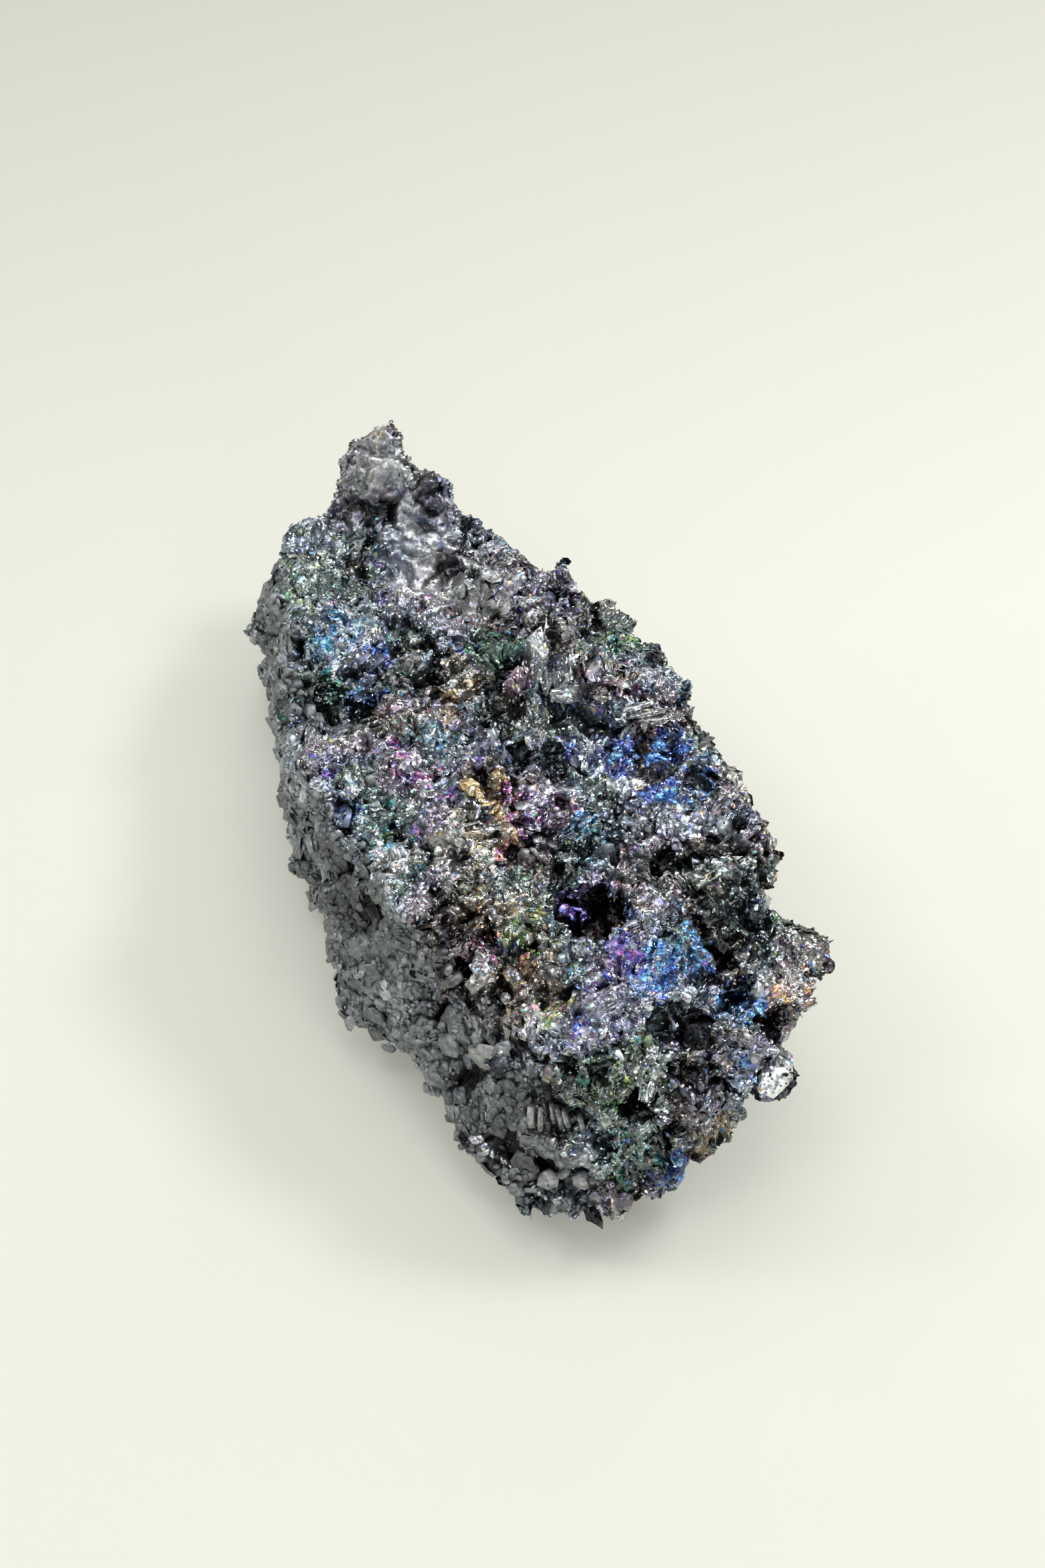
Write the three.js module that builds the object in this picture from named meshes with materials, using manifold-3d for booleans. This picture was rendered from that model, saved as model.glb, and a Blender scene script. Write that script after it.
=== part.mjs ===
// A hand specimen of silicon carbide: one mass of hexagonal plates and blocks, grown together in a furnace.
// It lies on its broken underside. Millimetres, +Z up, +Y from the blunt near end to the pointed far end.
// The origin is on the resting plane, under the middle of the bounding box.
import * as THREE from "three";
import { ImprovedNoise } from "three/addons/math/ImprovedNoise.js";
import { mergeVertices } from "three/addons/utils/BufferGeometryUtils.js";
import Module from "manifold-3d";

// ---- driving dimensions ----
const LENGTH = 182; // nose to fin, before the ends bulge
const MID_Y = -1; // middle of that length, in the sketch the stations are drawn in
// Share of each half size that the rounding of the mass's edges takes.
const EDGE_ROUND = new THREE.Vector3(0.15, 0.08, 0.26);
const LATTICE = { across: 15, along: 33, up: 8 };
const FOOT_TRIM = 0; // height of the plane that the feet are worn flat on

// Plan outline and heights at stations along Y: [station, value].
const LEFT_TOP = [
  [-92, -11], [-84, -19], [-71, -28], [-55, -36.5], [-35, -42.5], [-22, -45], [-9, -47], [10, -50],
  [22, -48.5], [28, -46], [45, -44.5], [60, -45], [70, -42], [78, -33], [85, -23], [92, -13],
];
const LEFT_FOOT = [
  [-92, -23], [-86, -31.5], [-76, -35], [-62, -31.5], [-48, -40.5], [-35, -49.5], [-15, -48.5],
  [15, -48], [40, -46], [62, -44], [76, -40], [84, -32], [91, -22],
];
const RIGHT_TOP = [
  [-92, 37], [-80, 42.5], [-70, 36], [-60, 33], [-50, 36.5], [-43, 40], [-30, 40], [-15, 39],
  [0, 36], [9, 33], [25, 29.5], [41, 23.5], [54, 17], [68, 7], [78, -0.5], [91, -7],
];
const RIGHT_FOOT = [
  [-92, 26], [-80, 34], [-66, 37], [-50, 35], [-30, 35], [-10, 31], [10, 30], [30, 25], [50, 16],
  [70, 7], [91, -4],
];
const CROWN = [
  [-96, 44], [-84, 50], [-70, 53], [-50, 53.5], [-20, 54], [0, 54], [20, 51], [40, 48], [55, 43.5],
  [68, 41], [80, 42], [96, 44],
];
const UNDERSIDE = [
  [-96, 9], [-84, 9], [-66, 8], [-46, 7], [-20, 5], [20, 5], [60, 6], [84, 12], [96, 18],
];
// How far the two ends bulge along Y, from the left side to the right, at the top and at the foot.
const NEAR_TOP = [
  [-1, 4], [-0.5, -2], [-0.1, -4], [0.3, -3], [0.7, 2], [1, 12],
];
const NEAR_FOOT = [
  [-1, -2], [-0.6, -6], [-0.2, -5.5], [0.1, -1], [0.45, 16], [0.75, 21], [1, 24],
];
const FAR_EDGE = [
  [-1, -6], [-0.4, 1], [0, 1], [0.5, -2], [1, -7],
];

// Swells and hollows of the top: place, half lengths along and across, turn from +Y, and rise.
// A sharp one comes to a peak; the others are rounded.
const TOP_RELIEF = [
  { name: "far fin", at: [-9.5, 86], reach: [40, 12], turn: 31, rise: 20, sharp: true },
  { name: "far rim", at: [22, 44], reach: [24, 6], turn: 30, rise: 4 },
  { name: "basin", at: [-9, 58], reach: [18, 13], turn: 15, rise: -7 },
  { name: "left shoulder", at: [-34, 59], reach: [18, 9], turn: 5, rise: 9 },
  { name: "shoulder spur", at: [-25, 42], reach: [14, 9], turn: -35, rise: 6 },
  { name: "left notch", at: [-39, 17], reach: [15, 5], turn: -42, rise: -12 },
  { name: "left lump", at: [-44, -3], reach: [19, 10], turn: 12, rise: 7 },
  { name: "middle dip", at: [-20, 18], reach: [16, 12], turn: -25, rise: -4.5 },
  { name: "knob", at: [8, 7], reach: [20, 12], turn: -38, rise: 11 },
  { name: "knob peak", at: [4, 11], reach: [10, 8], turn: -30, rise: 17, sharp: true },
  { name: "knob ridge", at: [22, -7], reach: [19, 7], turn: -48, rise: 8, sharp: true },
  { name: "knob foot", at: [-7, 9], reach: [10, 5], turn: 8, rise: -10 },
  { name: "dip behind the knob", at: [17, 24], reach: [13, 8], turn: 35, rise: -5 },
  { name: "right rim", at: [37, 0], reach: [24, 6], turn: 6, rise: 4 },
  { name: "blue hollow", at: [22, -27], reach: [10, 13], turn: 0, rise: -4 },
  { name: "middle swell", at: [-16, -22], reach: [20, 13], turn: -20, rise: 4 },
  { name: "furrow", at: [-2, -34], reach: [20, 5], turn: -75, rise: -3.5 },
  { name: "grey lump", at: [22, -38], reach: [10, 7], turn: -60, rise: 4 },
  { name: "long ledge", at: [20, -46], reach: [13, 4], turn: -68, rise: -7 },
  { name: "deep pit", at: [-2, -54], reach: [8, 7], turn: 0, rise: -15 },
  { name: "purple ridge", at: [5, -69], reach: [10, 6], turn: -30, rise: 5 },
  { name: "pale ridge", at: [16, -64], reach: [12, 5], turn: -10, rise: 4 },
  { name: "right crevice", at: [25, -62], reach: [15, 4.4], turn: 12, rise: -14 },
  { name: "right lump", at: [35, -69], reach: [13, 8], turn: 0, rise: 3.5 },
  { name: "left brow", at: [-30, -55], reach: [22, 7], turn: 35, rise: 3.5 },
  { name: "near hollow", at: [14, -82], reach: [8, 6], turn: 40, rise: -8 },
];
// Feet under the mass: place, reach and drop. The near right corner hangs clear of the ground.
const FEET = [
  { at: [36, -84], reach: 24, drop: -15 },
  { at: [-31, 2], reach: 15, drop: 10 },
  { at: [22, -46], reach: 15, drop: 12 },
  { at: [-14, -62], reach: 11, drop: 11 },
  { at: [14, 22], reach: 13, drop: 10 },
  { at: [-19, 60], reach: 13, drop: 11 },
];
// Lumpiness of the whole skin: wavelength and height of each layer.
const SKIN = [
  { wave: 36, height: 4.2 },
  { wave: 16, height: 3.2 },
  { wave: 9, height: 2 },
];
const CHIP = 1.25; // random step of each lattice point, which breaks the skin into facets

// ---- helpers ----
const noise = new ImprovedNoise();

// The same stream of numbers from 0 to 1 on every run.
function randomStream(seed) {
  let state = seed;
  return () => {
    state = (state * 1664525 + 1013904223) % 4294967296;
    return state / 4294967296;
  };
}

// Smooth curve through [station, value] pairs, flat beyond its ends.
function along(points, s) {
  if (s <= points[0][0]) return points[0][1];
  const last = points[points.length - 1];
  if (s >= last[0]) return last[1];
  const i = points.findIndex((p) => p[0] > s);
  const [s0, v0] = points[i - 1];
  const [s1, v1] = points[i];
  const share = (THREE.MathUtils.smoothstep(s, s0, s1) + (s - s0) / (s1 - s0)) / 2;
  return v0 + (v1 - v0) * share;
}

// 1 at the middle of a swell, falling to 0 at its edge.
function swell(x, y, { at, reach, turn = 0, sharp = false }) {
  const [longWay, crossWay] = reach;
  const a = THREE.MathUtils.degToRad(turn);
  const dx = x - at[0];
  const dy = y - at[1];
  const u = (-dx * Math.sin(a) + dy * Math.cos(a)) / longWay;
  const v = (dx * Math.cos(a) + dy * Math.sin(a)) / crossWay;
  const r2 = u * u + v * v;
  if (r2 >= 1) return 0;
  return sharp ? 1 - Math.sqrt(r2) : (1 - r2) ** 2;
}

function topHeight(x, y) {
  return TOP_RELIEF.reduce((z, s) => z + s.rise * swell(x, y, s), along(CROWN, y));
}

function footHeight(x, y) {
  return FEET.reduce(
    (z, f) => z - f.drop * swell(x, y, { at: f.at, reach: [f.reach, f.reach] }),
    along(UNDERSIDE, y),
  );
}

// Takes a point of the 2 x 2 x 2 cube's skin onto a cube whose edges are rounded.
function roundedCube(p) {
  const inner = p.clone().clamp(
    new THREE.Vector3(-1, -1, -1).add(EDGE_ROUND),
    new THREE.Vector3(1, 1, 1).sub(EDGE_ROUND),
  );
  const out = p.clone().sub(inner).divide(EDGE_ROUND).normalize();
  return inner.add(out.multiply(EDGE_ROUND));
}

// Takes a point of the rounded cube to its place on the mass.
function placed(p) {
  const h = (p.z + 1) / 2;
  const station = MID_Y + (p.y * LENGTH) / 2;
  const left = THREE.MathUtils.lerp(along(LEFT_FOOT, station), along(LEFT_TOP, station), h);
  const right = THREE.MathUtils.lerp(along(RIGHT_FOOT, station), along(RIGHT_TOP, station), h);
  const near = THREE.MathUtils.lerp(along(NEAR_FOOT, p.x), along(NEAR_TOP, p.x), h);
  const x = THREE.MathUtils.lerp(left, right, (p.x + 1) / 2);
  const y = station
    + near * THREE.MathUtils.smoothstep(-p.y, 0.6, 1)
    + along(FAR_EDGE, p.x) * THREE.MathUtils.smoothstep(p.y, 0.7, 1);
  return new THREE.Vector3(x, y, THREE.MathUtils.lerp(footHeight(x, y), topHeight(x, y), h));
}

// Ridged noise: sharp crests and round valleys, from -1 to 1, on coordinates that wander a little.
function ridged(p, wave) {
  const x = p.x / wave + 7.3;
  const y = p.y / wave + 1.9;
  const z = p.z / wave + 4.1;
  const wander = noise.noise(z + 3.7, x + 8.2, y + 5.5);
  const n = noise.noise(x + wander, y - wander, z + 0.6 * wander);
  return 1 - 2 * Math.min(1, Math.abs(n) * 2.2);
}

// Splits about half of the lattice's squares, two triangles each, along their other diagonal.
function flipDiagonals(index, random) {
  for (let i = 0; i < index.count; i += 6) {
    if (random() < 0.5) continue;
    const [a, b, d] = [index.getX(i), index.getX(i + 1), index.getX(i + 2)];
    const c = index.getX(i + 4);
    [a, b, c, a, c, d].forEach((v, k) => index.setX(i + k, v));
  }
}

// ---- the mass ----
function massGeometry() {
  const box = new THREE.BoxGeometry(2, 2, 2, LATTICE.across, LATTICE.along, LATTICE.up);
  box.deleteAttribute("normal");
  box.deleteAttribute("uv");
  const skin = mergeVertices(box);
  const points = skin.getAttribute("position");
  const p = new THREE.Vector3();
  const random = randomStream(11);
  flipDiagonals(skin.index, random);
  for (let i = 0; i < points.count; i++) {
    const q = placed(roundedCube(p.fromBufferAttribute(points, i)));
    points.setXYZ(i, q.x, q.y, q.z);
  }
  skin.computeVertexNormals();
  const normals = skin.getAttribute("normal");
  const n = new THREE.Vector3();
  for (let i = 0; i < points.count; i++) {
    p.fromBufferAttribute(points, i);
    n.fromBufferAttribute(normals, i);
    const push = SKIN.reduce((sum, layer) => sum + layer.height * 0.5 * ridged(p, layer.wave), 0);
    const chip = new THREE.Vector3(random(), random(), random()).subScalar(0.5).multiplyScalar(2 * CHIP);
    p.addScaledVector(n, push).add(chip);
    points.setXYZ(i, p.x, p.y, p.z);
  }
  skin.computeVertexNormals();
  return skin;
}

// ---- crystals ----
// Kinds of crystal: sites, crystals stacked at each, ranges of width and thickness, lean from the skin,
// distance between sites, and where the kind grows.
const CRYSTALS = [
  {
    name: "side plates", sites: 16, stack: 2, width: [6, 10], thick: [1.8, 2.8], lean: 0.35, apart: 7.5,
    grows: (p, n) => n.x < -0.45 && p.z < 46 && p.z > 14 && p.y < 40,
  },
  {
    name: "top plates", sites: 14, stack: 2, width: [6, 10], thick: [1.6, 2.6], lean: 0.8, apart: 9,
    grows: (p, n) => n.z > 0.5 && p.y < 66,
  },
  {
    name: "rim teeth", sites: 14, stack: 1, width: [5, 7.5], thick: [1.8, 2.6], lean: 0.45, apart: 8,
    grows: (p, n) => n.x > 0.3 || n.y < -0.4 || n.y > 0.5,
  },
];
const LOWEST_SITE = 6;
const UP_OF_PRISM = new THREE.Vector3(0, 1, 0);
// Plates that stand together: first middle, number, step from one to the next and axis, then for a fan the
// turn of each from the one before it and the arm it turns on, then width and thickness.
const PLATE_GROUPS = [
  {
    name: "tall knob blade", at: [6, 5, 67], count: 1, step: [0, 0, 0],
    axis: [-0.9, -0.5, 0.15], width: 17, thick: 2.4,
  },
  {
    name: "knob side blades", at: [0, 4, 60], count: 3, step: [-2.6, -0.4, -1.2],
    axis: [-0.8, -0.5, 0.4], width: 12, thick: 1.8,
  },
  {
    name: "knob fan", at: [7, -1, 59], count: 6, step: [0, 0, 0],
    axis: [0.7, 0.8, 0.4], fan: 22, arm: 9, width: 15, thick: 2,
  },
  {
    name: "basin ledges", at: [-1, 47, 44], count: 4, step: [2, -3, 1],
    axis: [-0.45, 0.25, 1], width: 14, thick: 1.6,
  },
  {
    name: "near book", at: [-22, -84, 34], count: 5, step: [2.3, -0.7, -0.3],
    axis: [0.9, -0.3, 0.1], width: 8, thick: 1.4,
  },
  {
    name: "side slab", at: [-27, -71, 38], count: 1, step: [0, 0, 0],
    axis: [-1, -0.4, 0.2], width: 10, thick: 2,
  },
  {
    name: "pale corner plate", at: [23.5, -92, 38], count: 1, step: [0, 0, 0],
    axis: [0.35, -0.5, 0.8], width: 13, thick: 2.4,
  },
  {
    name: "hanging plates", at: [8.5, -91.5, 21], count: 3, step: [4, 2, 1],
    axis: [-0.4, -0.8, 0.5], fan: 12, width: 12, thick: 1.8,
  },
];

// A hexagonal plate, wider at its foot than at its head and drawn out a little along one side.
function hexPlate(width, thick, taper, stretch) {
  const plate = new THREE.CylinderGeometry((width / 2) * taper, width / 2, thick, 6, 1);
  plate.deleteAttribute("normal");
  plate.deleteAttribute("uv");
  plate.scale(stretch, 1, 1);
  return plate;
}

function groupedPlates({ at, count, step, axis, fan = 0, arm = 0, width, thick }) {
  const upright = new THREE.Vector3(0, 0, 1);
  return Array.from({ length: count }, (_, k) => {
    const angle = THREE.MathUtils.degToRad(fan * k);
    const turned = new THREE.Vector3(...axis).applyAxisAngle(upright, angle).normalize();
    const middle = new THREE.Vector3(...at).addScaledVector(new THREE.Vector3(...step), k)
      .addScaledVector(turned.clone().cross(upright).normalize(), arm);
    const plate = hexPlate(width * (1 - 0.06 * k), thick, 0.9, 0.85);
    plate.applyQuaternion(new THREE.Quaternion().setFromUnitVectors(UP_OF_PRISM, turned));
    return plate.translate(middle.x, middle.y, middle.z);
  });
}

function crystalGeometries(skin) {
  const points = skin.getAttribute("position");
  const normals = skin.getAttribute("normal");
  const random = randomStream(41);
  const between = ([low, high]) => low + (high - low) * random();
  const either = () => 2 * random() - 1;
  const scatter = (amount) => new THREE.Vector3(either(), either(), either()).multiplyScalar(amount);
  const taken = [];
  const found = PLATE_GROUPS.flatMap(groupedPlates);
  const p = new THREE.Vector3();
  const n = new THREE.Vector3();
  for (const kind of CRYSTALS) {
    let left = kind.sites;
    for (let tries = 0; left > 0 && tries < 4000; tries++) {
      const i = Math.floor(random() * points.count);
      p.fromBufferAttribute(points, i);
      n.fromBufferAttribute(normals, i);
      const crowded = taken.some((q) => q.distanceTo(p) < kind.apart);
      if (crowded || p.z < LOWEST_SITE || !kind.grows(p, n)) continue;
      taken.push(p.clone());
      left--;
      const axis = n.clone().add(scatter(kind.lean)).normalize();
      const slide = n.clone().cross(axis).normalize();
      for (let k = 0; k < kind.stack; k++) {
        const width = between(kind.width) * (1 - 0.15 * k);
        const thick = between(kind.thick);
        const plate = hexPlate(width, thick, between([0.72, 0.95]), between([0.6, 1]));
        plate.rotateY(random() * Math.PI);
        const turned = axis.clone().add(scatter(0.18)).normalize();
        plate.applyQuaternion(new THREE.Quaternion().setFromUnitVectors(UP_OF_PRISM, turned));
        const upright = 1 - Math.abs(turned.dot(n));
        const at = p.clone().addScaledVector(n, -0.1 * thick - 0.36 * width * upright)
          .addScaledVector(slide, k * width * 0.55).addScaledVector(axis, k * thick * 0.35);
        plate.translate(at.x, at.y, at.z);
        found.push(plate);
      }
    }
  }
  return found;
}

// ---- pits ----
// Open pits and slots cut into the mass: middle, half sizes, and the direction that each is cut along.
const PITS = [
  { name: "deep pit", at: [-2, -55, 47], half: [5, 5.5, 11], tip: [0.2, 0.1] },
  { name: "far hole", at: [-20, 58, 44], half: [2.6, 3.2, 9], tip: [0.1, 0.2] },
  { name: "knob undercut", at: [-4, 11, 55], half: [3.4, 6, 7], tip: [0.5, 0] },
  { name: "notch root", at: [-33, 11, 47], half: [3, 5, 7], tip: [0, 0.3] },
  { name: "crevice", at: [25, -63, 44], half: [2.6, 8, 8], tip: [0.25, 0] },
  { name: "near hole", at: [9, -84, 40], half: [3.2, 3, 7], tip: [0, -0.7] },
  { name: "lower slot", at: [-26, -78, 15], half: [6, 2.6, 3.2], tip: [0, 0.1] },
  { name: "centre pit", at: [2, -14, 55], half: [2.6, 3.4, 6], tip: [0, 0.2] },
  { name: "brow gap", at: [-30, -60, 49], half: [2.2, 4, 5], tip: [-0.5, 0] },
];

function pitGeometry({ at, half, tip }, random) {
  const pit = new THREE.IcosahedronGeometry(1, 1);
  pit.deleteAttribute("normal");
  pit.deleteAttribute("uv");
  const body = mergeVertices(pit);
  const points = body.getAttribute("position");
  const corner = new THREE.Vector3();
  for (let i = 0; i < points.count; i++) {
    const k = 0.8 + 0.4 * random();
    corner.fromBufferAttribute(points, i).multiply(new THREE.Vector3(...half)).multiplyScalar(k);
    points.setXYZ(i, corner.x, corner.y, corner.z);
  }
  body.rotateY(tip[0]);
  body.rotateX(tip[1]);
  body.translate(...at);
  return body;
}

// ---- joining ----
const wasm = await Module();
wasm.setup();

function solidOf(geometry) {
  const merged = mergeVertices(geometry.index ? geometry.toNonIndexed() : geometry, 1e-3);
  return new wasm.Manifold(new wasm.Mesh({
    numProp: 3,
    vertProperties: new Float32Array(merged.getAttribute("position").array),
    triVerts: new Uint32Array(merged.index.array),
  }));
}

function geometryOf(solid) {
  const mesh = solid.getMesh();
  const geometry = new THREE.BufferGeometry();
  geometry.setAttribute("position", new THREE.BufferAttribute(new Float32Array(mesh.vertProperties), 3));
  geometry.setIndex(new THREE.BufferAttribute(new Uint32Array(mesh.triVerts), 1));
  return geometry;
}

function bare(geometry) {
  const copy = geometry.clone();
  copy.deleteAttribute("normal");
  return copy;
}

const skin = massGeometry();
let mass = solidOf(bare(skin));
for (const crystal of crystalGeometries(skin)) mass = mass.add(solidOf(crystal));
const pitRandom = randomStream(5);
for (const pit of PITS) mass = mass.subtract(solidOf(pitGeometry(pit, pitRandom)));

// The feet are worn flat on one plane, so that the mass lies still.
const groundBlock = new THREE.BoxGeometry(400, 400, 100);
groundBlock.deleteAttribute("normal");
groundBlock.deleteAttribute("uv");
groundBlock.translate(0, 0, FOOT_TRIM - 50);
mass = mass.subtract(solidOf(groundBlock));
const largest = mass.decompose().reduce((a, b) => (a.volume() > b.volume() ? a : b));

const geometry = geometryOf(largest);
geometry.computeBoundingBox();
const { min, max } = geometry.boundingBox;
geometry.translate(-(min.x + max.x) / 2, -(min.y + max.y) / 2, -min.z);
geometry.computeVertexNormals();

const carbide = new THREE.MeshStandardMaterial({
  color: 0x6b6f74,
  roughness: 0.38,
  metalness: 0.85,
  flatShading: true,
});
const crystalMass = new THREE.Mesh(geometry, carbide);
crystalMass.name = "silicon_carbide_crystal_mass";

const specimen = new THREE.Group();
specimen.add(crystalMass);
export default specimen;
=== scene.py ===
import math

import bpy
import numpy as np
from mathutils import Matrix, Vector, noise


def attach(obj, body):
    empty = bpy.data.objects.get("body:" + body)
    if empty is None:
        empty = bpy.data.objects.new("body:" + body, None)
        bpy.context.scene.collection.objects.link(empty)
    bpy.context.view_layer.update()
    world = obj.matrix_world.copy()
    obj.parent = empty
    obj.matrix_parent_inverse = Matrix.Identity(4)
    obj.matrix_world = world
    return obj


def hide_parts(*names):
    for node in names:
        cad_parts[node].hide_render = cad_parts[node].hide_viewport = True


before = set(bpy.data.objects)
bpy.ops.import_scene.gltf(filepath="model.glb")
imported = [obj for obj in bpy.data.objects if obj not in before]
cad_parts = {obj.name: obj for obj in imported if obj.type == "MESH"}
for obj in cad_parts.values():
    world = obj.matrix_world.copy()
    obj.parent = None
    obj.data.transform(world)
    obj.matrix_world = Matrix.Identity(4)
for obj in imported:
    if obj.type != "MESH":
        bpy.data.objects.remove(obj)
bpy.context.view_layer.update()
carbideNode = "silicon_carbide_crystal_mass"
mm = 0.001


def unit(v):
    return v / np.maximum(np.linalg.norm(v, axis=-1, keepdims=True), 1e-9)


def smooth(x, low, high):
    t = np.clip((x - low) / (high - low), 0, 1)
    return t * t * (3 - 2 * t)


def cells(co, size, salt=0.0):
    # crystal clusters of that size in mm: how far each point is from the border of its cluster,
    # the cluster's centre, and three random numbers that the cluster shares
    scaled = co / (size * mm) + salt
    near = np.empty((len(co), 2))
    seeds = np.empty((len(co), 3))
    for i, p in enumerate(scaled):
        d, pts = noise.voronoi(p)
        near[i] = d[0], d[1]
        seeds[i] = pts[0]
    stir = np.array([[12.9898, 78.233, 37.719], [39.346, 11.135, 83.155], [73.156, 52.235, 9.151]])
    stirred = np.sin(np.round(seeds, 3) @ stir.T + salt) * 43758.5453
    return near[:, 1] - near[:, 0], (seeds - salt) * size * mm, stirred - np.floor(stirred)


def noiseAt(co, size, salt=0.0):
    return np.array([noise.noise(p) for p in co / (size * mm) + salt])


def reach(co, places, power=1.5):
    # the sum of the values of the places, each fading out at its reach
    p = co / mm
    total = np.zeros(len(p))
    for at, far, value in places:
        d = np.linalg.norm(p - np.array(at), axis=1) / far
        total += value * np.exp(-d ** (2 * power))
    return total


def readVectors(source, name, count):
    values = np.empty(count * 3, np.float32)
    source.foreach_get(name, values)
    return values.reshape(-1, 3).astype(float)


def setAttribute(mesh, name, values, domain):
    mesh.attributes.new(name, "FLOAT", domain).data.foreach_set("value", values.astype(np.float32))


def selectOnly(obj):
    bpy.ops.object.select_all(action="DESELECT")
    obj.select_set(True)
    bpy.context.view_layer.objects.active = obj


toneLightShadePlaces = [  # place and reach in mm, and how much lighter or darker the crystals are there: partly their own tone, partly painted shade in hollows and round the knob's foot, and painted light where slopes and holes fall dark
    ((-28, 73, 43), 10, 0.35),
    ((-46, 2, 54), 9, 0.6),
    ((-25, -29, 54), 9, 0.5),
    ((-13, -39, 53), 9, 0.25),
    ((8, 9, 67), 6, 0.6),
    ((28, 5, 57), 9, 0.3),
    ((10, 63, 45), 8, 0.3),
    ((-3, 66, 42), 9, 0.3),
    ((-4, 57, 38), 9, 0.25),
    ((2, 40, 51), 8, 0.15),
    ((8, 47, 47), 8, 0.15),
    ((-17, 79, 43), 8, 0.25),
    ((-16, 88, 60), 11, 0.45),
    ((-1, 74, 52), 10, 0.25),
    # painted shade on the knob's left side and round its foot (this and the next two)
    ((4, 25, 52), 7, -0.5),
    ((1, 8, 60), 5, -0.6),
    ((5, 11, 66), 6, -0.45),
    ((-4, -74, 52), 7, -0.45),
    ((6, -80, 51), 4, -0.2),
    ((-33, -46, 46), 6, -0.35),
    ((-25, -60, 44), 5, -0.35),
    ((19, -52, 57), 6, 0.2),
    ((22, -14, 54), 5, -0.25),
    ((-30, 6, 52), 5, -0.5),
    ((-3, 73, 47), 4, -0.5),
    # painted highlight: more light glints on the left lump
    ((-38, -10, 59), 10, 0.9),
    ((-9, 82, 54), 9, 0.35),
    ((7, -86, 46), 10, 0.5),
    ((33, -73, 52), 9, 0.1),
    ((29, -91, 38), 7, 0.5),
    ((18, -42, 54), 16, 0.25),
    # painted light: lifts the knob's near slopes, which fall dark (this and the next two)
    ((18, 5, 61), 11, 1.0),
    ((12, 1, 59), 8, 1.2),
    ((23, -3, 58), 8, 0.9),
    # painted light in the deep hole
    ((2, -46, 49), 6, 0.5),
    ((-3, 60, 42), 14, 0.3),
    ((-33, 45, 52), 10, 0.25),
    ((32, -60, 45), 10, -0.1),
    ((19, -92, 42), 15, -0.3),
    ((0, -90, 39), 12, -0.2),
    ((-37, 23, 44), 8, -0.4),
    ((-42, -25, 38), 8, -0.35),
]
calmPlaces = [  # place and reach in mm, and how fine grained and quiet the skin is there
    ((-3, 66, 42), 9, 0.65),
    ((-4, 57, 38), 9, 0.65),
    ((2, 40, 51), 8, 0.55),
    ((8, 47, 47), 8, 0.45),
    ((-17, 79, 43), 8, 0.6),
    ((-16, 88, 60), 11, 0.6),
    ((-1, 74, 52), 10, 0.6),
    ((-48, 50, 30), 18, 0.9),
    ((-3, 73, 47), 4, 0.5),
    ((-9, 82, 54), 9, 0.6),
]

greySideLook = {
    "towards": (0.9, 0.35),  # what facing left, and facing the near end, counts for
    "facing": (0.18, 0.50),
    "border": -35,  # mm, where it meets the top
    "turnsAt": -38,  # mm, from here the border runs round the near end
    "slope": 0.47,
    "fade": (-3, 2),  # mm, across the border
    "crest": 58,  # mm, height where it ends
    "crestFade": 9,
}


def greySide(co, no):
    # 1 on the plain grey left side, 0 on the glittering top and ends
    look = greySideLook
    p = co / mm
    left, near = look["towards"]
    facing = smooth(-(no[:, 0] * left + no[:, 1] * near), *look["facing"])
    edge = look["border"] + look["slope"] * np.maximum(0, look["turnsAt"] - p[:, 1])
    inside = facing * smooth(edge - p[:, 0], *look["fade"])
    return inside * smooth(look["crest"] - p[:, 2], 0, look["crestFade"])


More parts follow.
